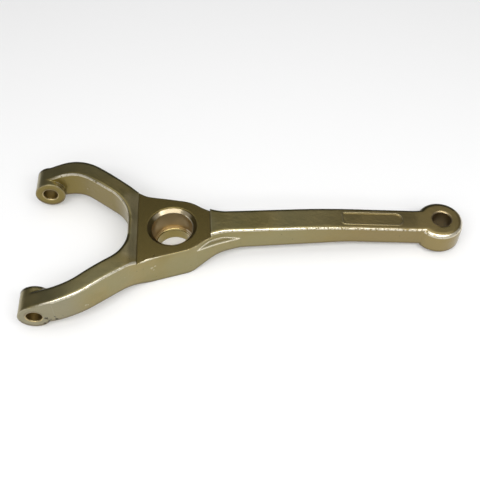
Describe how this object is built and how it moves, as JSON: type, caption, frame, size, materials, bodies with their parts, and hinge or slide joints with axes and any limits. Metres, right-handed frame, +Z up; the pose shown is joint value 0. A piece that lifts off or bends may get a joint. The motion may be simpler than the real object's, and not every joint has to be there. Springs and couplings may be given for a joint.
{
  "type": "clutch fork",
  "caption": "Forged clutch fork: a two-tined fork with bored tips, a bored hub with a milled pad, and a bent arm that ends in an eye.",
  "frame": {"origin": "on the axis of the pivot bore, in the plane of the hub's flat underside", "axes": "+X along the arm towards the rod eye, +Y to one side, +Z up along the pivot bore, out of the milled pad"},
  "size_m": [0.2963, 0.1206, 0.034],
  "materials": {
    "plated_steel": "olive-gold zinc plating over a forged steel skin, satin, with bright rounded edges and a darker milled pad"
  },
  "bodies": {
    "root": {"clutch_fork": "plated_steel"}
  },
  "joints": []
}
